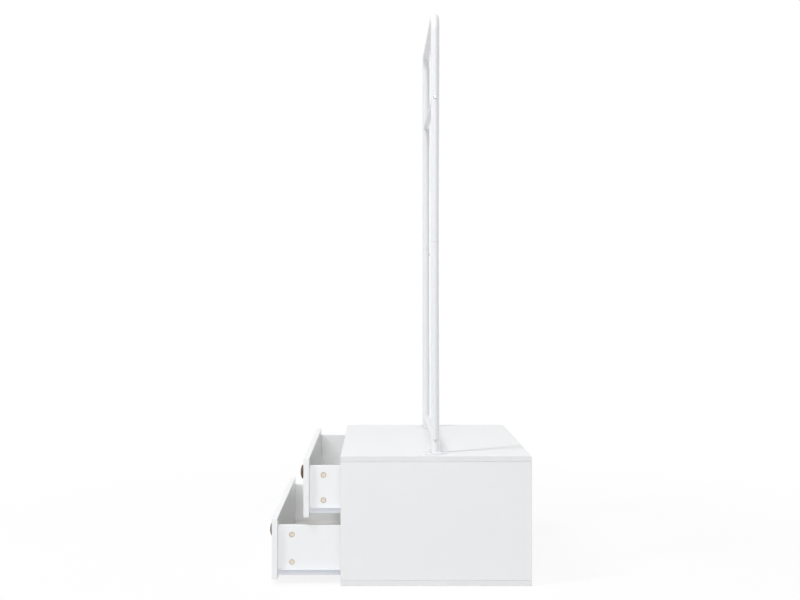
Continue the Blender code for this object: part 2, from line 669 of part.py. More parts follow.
def build_drawer(name, front_foot, front_height, opening):
    """One drawer in its own frame: the middle of its front's back face, level with its sides' lower edges."""
    foot = front_foot + DRAWER_SIDE_RISE
    drawer = frame(f"{name}_drawer_slide", (0, -HALF_DEPTH - opening, foot))
    side_height = front_height - DRAWER_SIDE_RISE - DRAWER_SIDE_DROP
    inner = BOX_HALF_WIDTH - DRAWER_SIDE_THICKNESS
    bottom_half = inner + DRAWER_GROOVE_DEPTH - FIT_GAP
    bottom_top = DRAWER_BOTTOM_RISE + DRAWER_BOTTOM_THICKNESS
    groove = box(
        (-bottom_half - FIT_GAP, -DRAWER_GROOVE_DEPTH, DRAWER_BOTTOM_RISE - FIT_GAP),
        (bottom_half + FIT_GAP, DRAWER_LENGTH + FIT_GAP, bottom_top + FIT_GAP),
    )
    cam_radius = CAM_DIAMETER / 2 + FIT_GAP
    cam_levels = (("low", CAM_FOOT), ("high", side_height - CAM_HEAD))
    knob_level = front_height - DRAWER_SIDE_RISE - KNOB_DROP
    front_face = -FRONT_THICKNESS

    stud_holes = []
    for side in (-1, 1):
        start = (side * (HALF_WIDTH - KNOB_INSET), front_face - FIT_GAP, knob_level)
        end = (start[0], front_face + KNOB_STUD_LENGTH + FIT_GAP, knob_level)
        stud_holes.append(rod(KNOB_STUD_DIAMETER / 2 + FIT_GAP, start, end))
    front_half = HALF_WIDTH - FRONT_SIDE_REVEAL
    front = box(
        (-front_half, front_face, -DRAWER_SIDE_RISE),
        (front_half, 0, front_height - DRAWER_SIDE_RISE),
        EDGE_ROUND,
    )
    centred(f"{name}_drawer_front", cut(front, [groove, *stud_holes]), WHITE_LAMINATE, drawer)

    back = box(
        (-inner + FIT_GAP, DRAWER_LENGTH - DRAWER_BACK_THICKNESS, bottom_top + FIT_GAP),
        (inner - FIT_GAP, DRAWER_LENGTH, side_height - DRAWER_BACK_DROP),
        EDGE_ROUND,
    )
    centred(f"{name}_drawer_back", back, WHITE_LAMINATE, drawer)
    bottom = box(
        (-bottom_half, -DRAWER_GROOVE_DEPTH + FIT_GAP, DRAWER_BOTTOM_RISE),
        (bottom_half, DRAWER_LENGTH, bottom_top),
    )
    centred(f"{name}_drawer_bottom", bottom, WHITE_HARDBOARD, drawer)

    for hand, side in (("right", 1), ("left", -1)):
        outer = side * BOX_HALF_WIDTH
        ends = sorted((side * inner, outer))
        board = box((ends[0], FIT_GAP, 0), (ends[1], DRAWER_LENGTH, side_height), EDGE_ROUND)
        sockets = [
            rod(
                cam_radius,
                (outer - side * (CAM_DEPTH + FIT_GAP), CAM_SETBACK, level),
                (outer + side * FIT_GAP, CAM_SETBACK, level),
                CAM_SIDES,
            )
            for _, level in cam_levels
        ]
        centred(f"{name}_drawer_{hand}_side", cut(board, [groove, *sockets]), WHITE_LAMINATE, drawer)
        for height, level in cam_levels:
            piece(
                f"{name}_{hand}_{height}_cam",
                cam_mesh(),
                CREAM_PLASTIC,
                drawer,
                location=(outer, CAM_SETBACK, level),
                facing=(side, 0, 0),
            )
        piece(
            f"{name}_{hand}_knob",
            knob_mesh(),
            BROWN_WOOD,
            drawer,
            location=(side * (HALF_WIDTH - KNOB_INSET), front_face - FIT_GAP, knob_level),
            facing=(0, -1, 0),
        )
    build_drawer_runners(drawer, name)
    return foot


def main():
    """Build the cabinet, its two drawers with their runners, and the rack on top."""
    clear_scene()
    cabinet = frame("cabinet_frame", (0, 0, 0))
    rack = frame("rack_frame", (0, 0, 0))
    build_cabinet(cabinet)
    build_rack(rack)
    for name, foot, height, opening in (
        ("upper", UPPER_FRONT_FOOT, UPPER_FRONT_HEIGHT, UPPER_DRAWER_OPEN),
        ("lower", FRONT_BOTTOM_REVEAL, LOWER_FRONT_HEIGHT, LOWER_DRAWER_OPEN),
    ):
        runner_foot = build_drawer(name, foot, height, opening)
        build_cabinet_runners(cabinet, name, runner_foot)


main()
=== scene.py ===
"""The looks of a white clothes rail on a two-drawer cabinet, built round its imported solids.

Lengths are metres unless a name says otherwise. +Z is up and the drawers open towards -Y.
The frame's round pieces are replaced by finer ones of the same size, every surface gets its
finish, and a plain white studio stands round the rack with the camera at the photograph's angle.
"""

from __future__ import annotations

import json
import logging
import math
from collections.abc import Iterable, Mapping, Sequence
from dataclasses import dataclass, replace
from enum import Enum
from typing import Any

import bmesh
import bpy
from bpy.types import Material, Mesh, Node, NodeSocket, NodeTree, Object
from mathutils import Matrix, Vector

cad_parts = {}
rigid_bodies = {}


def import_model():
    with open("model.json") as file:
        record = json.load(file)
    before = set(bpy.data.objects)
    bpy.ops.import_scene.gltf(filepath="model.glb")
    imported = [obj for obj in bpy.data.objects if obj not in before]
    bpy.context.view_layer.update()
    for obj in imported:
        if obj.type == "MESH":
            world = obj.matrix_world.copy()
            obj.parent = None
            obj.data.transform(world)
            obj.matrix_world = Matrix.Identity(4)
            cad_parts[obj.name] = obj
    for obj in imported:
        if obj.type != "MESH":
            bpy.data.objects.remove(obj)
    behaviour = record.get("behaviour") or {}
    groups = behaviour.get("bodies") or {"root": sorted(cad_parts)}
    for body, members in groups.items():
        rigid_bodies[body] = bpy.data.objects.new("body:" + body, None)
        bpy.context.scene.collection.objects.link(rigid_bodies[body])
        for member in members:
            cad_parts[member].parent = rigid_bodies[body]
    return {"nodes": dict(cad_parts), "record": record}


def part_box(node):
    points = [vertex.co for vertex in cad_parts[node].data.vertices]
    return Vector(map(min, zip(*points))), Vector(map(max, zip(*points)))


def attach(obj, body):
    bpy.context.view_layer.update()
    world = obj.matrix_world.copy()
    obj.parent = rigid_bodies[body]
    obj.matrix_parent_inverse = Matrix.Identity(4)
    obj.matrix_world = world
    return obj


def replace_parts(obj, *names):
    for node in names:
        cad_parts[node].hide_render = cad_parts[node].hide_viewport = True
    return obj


LOG = logging.getLogger("clothes_rack")

# Fineness of the round pieces
TUBE_SIDES = 64
FITTING_SIDES = 48
BEND_STEPS = 24
KNOB_STEPS = 14
ARC_STEPS = 5
ARRIS_SEGMENTS = 2
SHARP_ANGLE = math.radians(40)
MERGE_DISTANCE = 1e-6

# Corners of a hex key's socket
SOCKET_CORNERS = 6

# The gap that touching pieces keep, and the length of a millimetre
FIT_GAP = 0.0003
MM = 0.001

# One band of the wave pattern at scale 1, and the octaves of each pattern
WAVE_BAND = math.tau / 20
CLOUD_DETAIL = 3.0
GRAIN_DETAIL = 2.0
RING_DETAIL = 2.0

# The sRGB curve: a straight foot up to the knee, and a power above it
SRGB_KNEE = 0.04045
SRGB_SLOPE = 12.92
SRGB_OFFSET = 0.055
SRGB_POWER = 2.4
PURE_WHITE = "FFFFFF"

# The mix node's sockets in its colour form, which share their names with its other forms
MIX_FACTOR, MIX_A, MIX_B, MIX_RESULT = 0, 6, 7, 2

QUARTER_TURN = math.pi / 2
UP = Vector((0, 0, 1))
FORWARD = Vector((0, -1, 0))
SIDEWAYS = Vector((1, 0, 0))

# A corner is a point of an outline with the radius of its rounding
Corner = tuple[float, float, float]
Point = tuple[float, float]


class Side(Enum):
    """The two ends of the cabinet, by the way they lie along X."""

    RIGHT = 1
    LEFT = -1

    @property
    def word(self) -> str:
        """The side's name as the nodes spell it."""
        return self.name.lower()


class Level(Enum):
    """The two drawers."""

    UPPER = "upper"
    LOWER = "lower"


class Face(Enum):
    """The faces of a board that can carry edging: the axis across the face, and the way it looks."""

    RIGHT = (0, 1)
    LEFT = (0, -1)
    FRONT = (1, -1)
    TOP = (2, 1)
    BOTTOM = (2, -1)


def linear(code: str) -> tuple[float, float, float, float]:
    """Turn an sRGB colour into linear light.

    Args:
        code: Six hex digits.

    Returns:
        Red, green, blue and a full alpha.
    """
    parts = [int(code[place : place + 2], 16) / 255 for place in (0, 2, 4)]
    light = [
        part / SRGB_SLOPE if part <= SRGB_KNEE else ((part + SRGB_OFFSET) / (1 + SRGB_OFFSET)) ** SRGB_POWER
        for part in parts
    ]
    return (light[0], light[1], light[2], 1.0)


def per_metre(size_mm: float) -> float:
    """The scale of a pattern whose features are this many millimetres wide."""
    return 1.0 / (size_mm * MM)


def add_node(
    tree: NodeTree,
    kind: str,
    settings: Mapping[str | int, Any] | None = None,
    links: Mapping[str | int, NodeSocket] | None = None,
) -> Node:
    """Add a node with its settings and its incoming links.

    Args:
        tree: The node tree that gets the node.
        kind: The node's type.
        settings: Values by the name or number of an input, or by the name of a property.
        links: The sockets that feed inputs, by the input's name or number.

    Returns:
        The new node.
    """
    node = tree.nodes.new(kind)
    for key, value in (settings or {}).items():
        if isinstance(key, int) or key in node.inputs:
            node.inputs[key].default_value = value
        else:
            setattr(node, key, value)
    for key, source in (links or {}).items():
        tree.links.new(source, node.inputs[key])
    return node


def noise(tree: NodeTree, place: NodeSocket, size_mm: float, detail: float) -> NodeSocket:
    """Lay a noise pattern, with features of this size, over a place."""
    settings = {"Scale": per_metre(size_mm), "Detail": detail}
    return add_node(tree, "ShaderNodeTexNoise", settings, {"Vector": place}).outputs[0]


def reckoned(tree: NodeTree, operation: str, first: NodeSocket, second: NodeSocket) -> NodeSocket:
    """Work out one number from two."""
    return add_node(tree, "ShaderNodeMath", {"operation": operation}, {0: first, 1: second}).outputs[0]


def mixed_tone(tree: NodeTree, share: NodeSocket, first: str, second: str) -> NodeSocket:
    """Blend two colours.

    Args:
        tree: The node tree that gets the blend.
        share: A socket from 0, the first colour, to 1, the second.
        first: The first colour, in sRGB.
        second: The second colour, in sRGB.

    Returns:
        The blend's socket.
    """
    mix = add_node(
        tree,
        "ShaderNodeMix",
        {"data_type": "RGBA", MIX_A: linear(first), MIX_B: linear(second)},
        {MIX_FACTOR: share},
    )
    return mix.outputs[MIX_RESULT]


@dataclass(frozen=True)
class Finish:
    """A surface of two close tones, with a fine grain in its gloss and relief.

    Attributes:
        name: The material and how its surface was made.
        pale: The lighter tone, in sRGB.
        deep: The darker tone, in sRGB.
        roughness: Roughness at the bottom and at the top of the grain.
        cloud_mm: Width of the drifts from one tone to the other.
        grain_mm: Width of the grain.
        relief_mm: Height of the grain.
        stretch: How far the grain is squeezed along each axis.
        metallic: 1 for bare metal.
        ior: Refractive index.
    """

    name: str
    pale: str
    deep: str
    roughness: tuple[float, float]
    cloud_mm: float
    grain_mm: float
    relief_mm: float
    stretch: tuple[float, float, float] = (1.0, 1.0, 1.0)
    metallic: float = 0.0
    ior: float = 1.5

    def tone(self, tree: NodeTree, place: NodeSocket) -> NodeSocket:
        """Say where the surface is pale, 0, and where it is deep, 1."""
        return noise(tree, place, self.cloud_mm, CLOUD_DETAIL)

    def material(self) -> Material:
        """Make the material, or find it if it was made before.

        Returns:
            The material.
        """
        made = bpy.data.materials.get(self.name)
        if made is not None:
            return made
        made = bpy.data.materials.new(self.name)
        made.use_nodes = True
        tree = made.node_tree
        shader = tree.nodes["Principled BSDF"]
        shader.inputs["Metallic"].default_value = self.metallic
        shader.inputs["IOR"].default_value = self.ior
        place = add_node(tree, "ShaderNodeTexCoord").outputs["Object"]
        squeezed = add_node(tree, "ShaderNodeMapping", {"Scale": self.stretch}, {"Vector": place})
        grain = noise(tree, squeezed.outputs[0], self.grain_mm, GRAIN_DETAIL)
        tint = mixed_tone(tree, self.tone(tree, place), self.pale, self.deep)
        smooth, rough = self.roughness
        gloss = add_node(tree, "ShaderNodeMapRange", {"To Min": smooth, "To Max": rough}, {"Value": grain})
        height = {"Strength": 1.0, "Distance": self.relief_mm * MM}
        relief = add_node(tree, "ShaderNodeBump", height, {"Height": grain})
        tree.links.new(tint, shader.inputs["Base Color"])
        tree.links.new(gloss.outputs[0], shader.inputs["Roughness"])
        tree.links.new(relief.outputs[0], shader.inputs["Normal"])
        return made


@dataclass(frozen=True)
class TurnedWood(Finish):
    """Wood cut across its growth rings, which show as wavering lines.

    Attributes:
        ring_mm: Width of one year's growth.
        waver: How far the rings wander.
    """

    ring_mm: float = 3.0
    waver: float = 2.5

    def tone(self, tree: NodeTree, place: NodeSocket) -> NodeSocket:
        """Say where the early and the late wood lie.

        Args:
            tree: The material's nodes.
            place: The point on the piece.

        Returns:
            A socket from 0, early wood, to 1, late wood.
        """
        rings = add_node(
            tree,
            "ShaderNodeTexWave",
            {
                "wave_type": "BANDS",
                "bands_direction": "Y",
                "Scale": WAVE_BAND * per_metre(self.ring_mm),
                "Distortion": self.waver,
                "Detail": RING_DETAIL,
            },
            {"Vector": place},
        )
        return rings.outputs[1]


# Melamine film pressed on chipboard: a clean white with a soft, even sheen. The press plate's
# pearl texture is about 0.5 mm wide and is drawn wider, so that it shows.
MELAMINE = Finish(
    "melamine_pressed_on_chipboard",
    pale="F5F6F7",
    deep="F2F3F4",
    roughness=(0.38, 0.48),
    cloud_mm=260,
    grain_mm=3.0,
    relief_mm=0.012,
)

# The same film in a brighter white for the drawers: painted light that lifts the shade inside them, where the
# white passes more light on from board to board.
DRAWER_MELAMINE_PAINTED_LIGHT = replace(MELAMINE, name="melamine_pressed_bright_white", pale="FAFBFC", deep="F7F8F9")

# ABS strip glued on the cabinet's cut edges: a shade greyer and glossier than the melamine.
GREY_EDGING = Finish(
    "abs_edging_glued_grey_white",
    pale="EFF0F1",
    deep="EBECEE",
    roughness=(0.30, 0.40),
    cloud_mm=60,
    grain_mm=2.0,
    relief_mm=0.006,
    ior=1.53,
)

# The same strip on the drawers' cut edges: nearly as white as their melamine, and glossier.
WHITE_EDGING = replace(GREY_EDGING, name="abs_edging_glued_white", pale="F8F9FA", deep="F5F6F7")

# Hardboard with one coat of white lacquer: flatter and a little warmer than the melamine, with
# the faint streaks of the lacquer roller along the drawer.
HARDBOARD = Finish(
    "hardboard_roller_lacquered",
    pale="F6F5F3",
    deep="F0EFEC",
    roughness=(0.50, 0.62),
    cloud_mm=120,
    grain_mm=4.0,
    relief_mm=0.015,
    stretch=(1.0, 0.12, 1.0),
)

# Polyester powder baked on steel tube: a smooth satin skin with a slight orange peel. The peel
# is about 1.5 mm wide and is drawn wider, so that it shows.
POWDER_COAT = Finish(
    "steel_powder_coated",
    pale="F0F1F3",
    deep="ECEDEF",
    roughness=(0.30, 0.38),
    cloud_mm=90,
    grain_mm=4.0,
    relief_mm=0.015,
)

# Epoxy baked on rolled steel strip: a cool pale grey with the rolling lines just showing through, lifted
# further as painted light against the shade under the runners' lips.
EPOXY_STEEL_LIFTED_AS_PAINTED_LIGHT = Finish(
    "steel_rolled_epoxy_coated",
    pale="EDF0F5",
    deep="E4E8EE",
    roughness=(0.34, 0.46),
    cloud_mm=70,
    grain_mm=3.0,
    relief_mm=0.010,
    stretch=(1.0, 0.08, 1.0),
)

# Moulded nylon: a milky white with the dull gloss of a worn tread.
NYLON = Finish(
    "nylon_moulded",
    pale="F3F2EE",
    deep="E9E8E3",
    roughness=(0.36, 0.50),
    cloud_mm=12,
    grain_mm=1.5,
    relief_mm=0.010,
    ior=1.53,
)

# Moulded acetal: a creamy, slightly waxy plastic.
ACETAL = Finish(
    "acetal_moulded_cream",
    pale="F7ECDD",
    deep="EFE2CF",
    roughness=(0.32, 0.42),
    cloud_mm=9,
    grain_mm=1.2,
    relief_mm=0.008,
    ior=1.48,
)

# Chipboard laid bare by a drill: tan, coarse and dull, in a deeper tan that also paints the shade in the gap
# round a cam.
BARE_CHIPBOARD_AND_GAP_SHADE = Finish(
    "chipboard_drilled",
    pale="BDAB94",
    deep="98856D",
    roughness=(0.80, 0.95),
    cloud_mm=3,
    grain_mm=1.6,
    relief_mm=0.060,
)

# Beech turned, stained brown and oiled: dark early wood with darker lines and a low sheen.
STAINED_BEECH = TurnedWood(
    "beech_turned_stained",
    pale="70523A",
    deep="4A3423",
    roughness=(0.36, 0.55),
    cloud_mm=20,
    grain_mm=2.2,
    relief_mm=0.030,
    stretch=(0.2, 1.0, 1.0),
    ring_mm=3.4,
)

# Zinc plated on steel: a bright, slightly cloudy grey.
ZINC_PLATE = Finish(
    "steel_zinc_plated",
    pale="D9DADB",
    deep="C6C8CA",
    roughness=(0.24, 0.40),
    cloud_mm=6,
    grain_mm=1.0,
    relief_mm=0.004,
    metallic=1.0,
)


def skin(shape: bmesh.types.BMesh) -> Mesh:
    """Turn a bmesh into a smooth mesh with its hard edges kept, and free the bmesh.

    Args:
        shape: The closed shape.

    Returns:
        The mesh.
    """
    bmesh.ops.recalc_face_normals(shape, faces=shape.faces[:])
    mesh = bpy.data.meshes.new("skin")
    shape.to_mesh(mesh)
    shape.free()
    mesh.shade_smooth()
    mesh.set_sharp_from_angle(angle=SHARP_ANGLE)
    return mesh


def even_turns(count: int) -> list[float]:
    """Angles spread evenly round a circle."""
    return [math.tau * index / count for index in range(count)]


def rounded(corners: Sequence[Corner]) -> list[Point]:
    """Turn the corners of an outline into points, with an arc where a corner has a radius.

    Args:
        corners: Each corner's two coordinates and its radius.

    Returns:
        The points of the outline.
    """
    path: list[Point] = []
    for index, (across, along, radius) in enumerate(corners):
        if not radius:
            path.append((across, along))
            continue
        point = Vector((across, along))
        back = (Vector(corners[index - 1][:2]) - point).normalized()
        ahead = (Vector(corners[(index + 1) % len(corners)][:2]) - point).normalized()
        half = back.angle(ahead) / 2
        middle = point + (back + ahead).normalized() * (radius / math.sin(half))
        start = point + back * (radius / math.tan(half)) - middle
        end = point + ahead * (radius / math.tan(half)) - middle
        turn = math.pi - 2 * half
        for step in range(ARC_STEPS + 1):
            share = step / ARC_STEPS
            spoke = start * math.sin((1 - share) * turn) + end * math.sin(share * turn)
            path.append(tuple(middle + spoke / math.sin(turn)))
    return path


def lathe(profile: Sequence[Point], sides: int) -> Mesh:
    """Turn a profile about Z.

    Args:
        profile: Radius and height of each point. A ring's profile ends where it starts.
        sides: Facets round the turn.

    Returns:
        The closed mesh.
    """
    shape = bmesh.new()
    verts = [shape.verts.new((radius, 0.0, height)) for radius, height in profile]
    edges = [shape.edges.new(pair) for pair in zip(verts, verts[1:])]
    bmesh.ops.spin(
        shape, geom=verts + edges, cent=(0, 0, 0), axis=UP, angle=math.tau, steps=sides, use_merge=True
    )
    bmesh.ops.remove_doubles(shape, verts=shape.verts[:], dist=MERGE_DISTANCE)
    return skin(shape)


def bridged(rings: Sequence[Sequence[Vector]]) -> Mesh:
    """Join each ring of points to the next, and the last one to the first.

    Args:
        rings: Rings with as many points each.

    Returns:
        The closed mesh.
    """
    shape = bmesh.new()
    loops = [[shape.verts.new(point) for point in ring] for ring in rings]
    for loop, following in zip(loops, loops[1:] + loops[:1]):
        for side in range(len(loop)):
            after = (side + 1) % len(loop)
            shape.faces.new((loop[side], loop[after], following[after], following[side]))
    return skin(shape)


def prism(outline: Sequence[Point], low: float, high: float) -> Mesh:
    """Push a flat outline along Z.

    Args:
        outline: The corners across.
        low: Height of the lower face.
        high: Height of the upper face.

    Returns:
        The closed mesh.
    """
    shape = bmesh.new()
    feet = [shape.verts.new((x, y, low)) for x, y in outline]
    heads = [shape.verts.new((x, y, high)) for x, y in outline]
    shape.faces.new(feet)
    shape.faces.new(heads)
    for index in range(len(outline)):
        after = (index + 1) % len(outline)
        shape.faces.new((feet[index], feet[after], heads[after], heads[index]))
    return skin(shape)


def strip(low: Vector, high: Vector, arris: float) -> Mesh:
    """A flat strip with its arrises rounded.

    Args:
        low: Its lowest corner.
        high: Its highest corner.
        arris: Radius of its edges.

    Returns:
        The closed mesh.
    """
    shape = bmesh.new()
    bmesh.ops.create_cube(shape, size=1.0)
    for vert in shape.verts:
        vert.co = [low[axis] if vert.co[axis] < 0 else high[axis] for axis in range(3)]
    bmesh.ops.bevel(shape, geom=shape.edges[:], offset=arris, segments=ARRIS_SEGMENTS, affect="EDGES")
    return skin(shape)


def turned_to(seat: Vector, facing: Vector) -> Matrix:
    """The place of a piece that is drawn upright: its foot at the seat, its top the way it faces."""
    return Matrix.Translation(seat) @ UP.rotation_difference(facing).to_matrix().to_4x4()


def drill(radius: float, start: Vector, end: Vector) -> Mesh:
    """A round cutter between two points.

    Args:
        radius: The hole's radius.
        start: One end of its axis.
        end: The other end.

    Returns:
        The cutter's mesh.
    """
    length = (end - start).length
    mesh = lathe([(0, 0), (radius, 0), (radius, length), (0, length)], FITTING_SIDES)
    mesh.transform(turned_to(start, end - start))
    return mesh


def cut(mesh: Mesh, cutters: Iterable[Mesh]) -> Mesh:
    """Take each cutter away from a mesh.

    Args:
        mesh: The mesh to cut.
        cutters: The meshes taken away.

    Returns:
        What is left.
    """
    collection = bpy.context.scene.collection
    body = bpy.data.objects.new("body", mesh)
    collection.objects.link(body)
    tools = []
    for cutter in cutters:
        tool = bpy.data.objects.new("tool", cutter)
        collection.objects.link(tool)
        modifier = body.modifiers.new("cut", "BOOLEAN")
        modifier.operation = "DIFFERENCE"
        modifier.object = tool
        tools.append(tool)
    graph = bpy.context.evaluated_depsgraph_get()
    left = bpy.data.meshes.new_from_object(body.evaluated_get(graph))
    for obj in [body, *tools]:
        bpy.data.objects.remove(obj, do_unlink=True)
    left.shade_smooth()
    left.set_sharp_from_angle(angle=SHARP_ANGLE)
    return left


class Frame:
    """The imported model: its nodes, and the body and the material slot of each."""

    def __init__(self) -> None:
        """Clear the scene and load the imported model."""
        for obj in list(bpy.data.objects):
            bpy.data.objects.remove(obj, do_unlink=True)
        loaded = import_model()
        record = loaded["record"]
        self.nodes: dict[str, Object] = loaded["nodes"]
        self.body_of = {node: body for body, nodes in record["behaviour"]["bodies"].items() for node in nodes}
        self.slot_of = {row["node"]: row["material_slot"] for row in record["subparts"]}

    def centre(self, node: str) -> Vector:
        """The middle of a node's box."""
        low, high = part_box(node)
        return (low + high) / 2

    def size(self, node: str) -> Vector:
        """The lengths of a node's box."""
        low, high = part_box(node)
        return high - low

    def dress(self, node: str, finish: Finish) -> None:
        """Give a node that stays its finish.

        Args:
            node: The node's name.
            finish: Its finish.
        """
        for slot in self.nodes[node].material_slots:
            slot.material = finish.material()
        LOG.info("%s: %s", node, finish.name)

    def add(self, name: str, mesh: Mesh, finish: Finish, place: Matrix, like: str) -> Object:
        """Add a piece that moves with a node, in the finish that it is given.

        Args:
            name: The piece's name.
            mesh: Its shape.
            finish: Its finish.
            place: Where it stands.
            like: The node whose body it takes.

        Returns:
            The piece.
        """
        piece = bpy.data.objects.new(name, mesh.copy())
        piece.data.name = name
        piece.data.materials.clear()
        piece.data.materials.append(finish.material())
        piece.matrix_world = place
        bpy.context.scene.collection.objects.link(piece)
        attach(piece, self.body_of[like])
        LOG.info("%s: %s", name, finish.name)
        return piece

    def replace(self, node: str, mesh: Mesh, finish: Finish, place: Matrix) -> None:
        """Stand a finer piece in the place of a node, which is hidden."""
        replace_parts(self.add(f"{node}_fine", mesh, finish, place, node), node)


@dataclass(frozen=True)
class Edging:
    """Strips glued over the cut edges of the boards.

    Attributes:
        finish: Finish of a strip.
        thickness: Thickness of a strip.
        proud: How far it stands out from the board.
        inset: How far it stays back from the board's corners.
        arris: Rounding of its edges.
    """

    finish: Finish
    thickness: float = 0.0008
    proud: float = 0.00015
    inset: float = 0.0003
    arris: float = 0.0003

    def glue(self, frame: Frame, board: str, faces: Iterable[Face]) -> None:
        """Add the strips of a board.

        Args:
            frame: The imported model.
            board: The board's node.
            faces: The faces that carry a strip.
        """
        for face in faces:
            across, way = face.value
            low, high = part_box(board)
            margin = Vector([0.0 if axis == across else self.inset for axis in range(3)])
            low, high = low + margin, high - margin
            if way > 0:
                high[across] += self.proud
                low[across] = high[across] - self.thickness
            else:
                low[across] -= self.proud
                high[across] = low[across] + self.thickness
            name = f"{board}_{face.name.lower()}_edging"
            frame.add(name, strip(low, high, self.arris), self.finish, Matrix.Identity(4), board)


@dataclass(frozen=True)
class ButtonScrew:
    """A low domed screw with a six-sided socket.

    Attributes:
        shank: Diameter below the head.
        head_height: Height of the dome.
        socket: Width across the socket's corners.
        socket_depth: Depth of the socket.
        dome_of_height: The most of the head's height that its rounding takes.
        dome_of_rim: The most of the head's radius that its rounding takes.
    """

    shank: float
    head_height: float
    socket: float
    socket_depth: float
    dome_of_height: float = 0.85
    dome_of_rim: float = 0.45

    def mesh(self, head: float, length: float) -> Mesh:
        """Shape the screw, with z = 0 under its head.

        Args:
            head: Diameter of the head.
            length: Length below the head.

        Returns:
            The screw's mesh.
        """
        top, rim, radius = self.head_height, head / 2, self.shank / 2
        dome = min(self.dome_of_height * top, self.dome_of_rim * rim)
        head_corners = [(0, top, 0), (rim, top, dome), (rim, 0, 0)]
        shank_corners = [(radius, 0, 0), (radius, -length, 0), (0, -length, 0)]
        profile = rounded(head_corners + shank_corners)
        reach = self.socket / 2
        hexagon = [(reach * math.cos(turn), reach * math.sin(turn)) for turn in even_turns(SOCKET_CORNERS)]
        return cut(lathe(profile, FITTING_SIDES), [prism(hexagon, top - self.socket_depth, 2 * top)])


RAIL_SCREW = ButtonScrew(shank=0.006, head_height=0.0033, socket=0.0046, socket_depth=0.0020)
JOINT_SCREW = ButtonScrew(shank=0.005, head_height=0.0026, socket=0.0040, socket_depth=0.0016)
FLANGE_SCREW = ButtonScrew(shank=0.004, head_height=0.0024, socket=0.0030, socket_depth=0.0008)


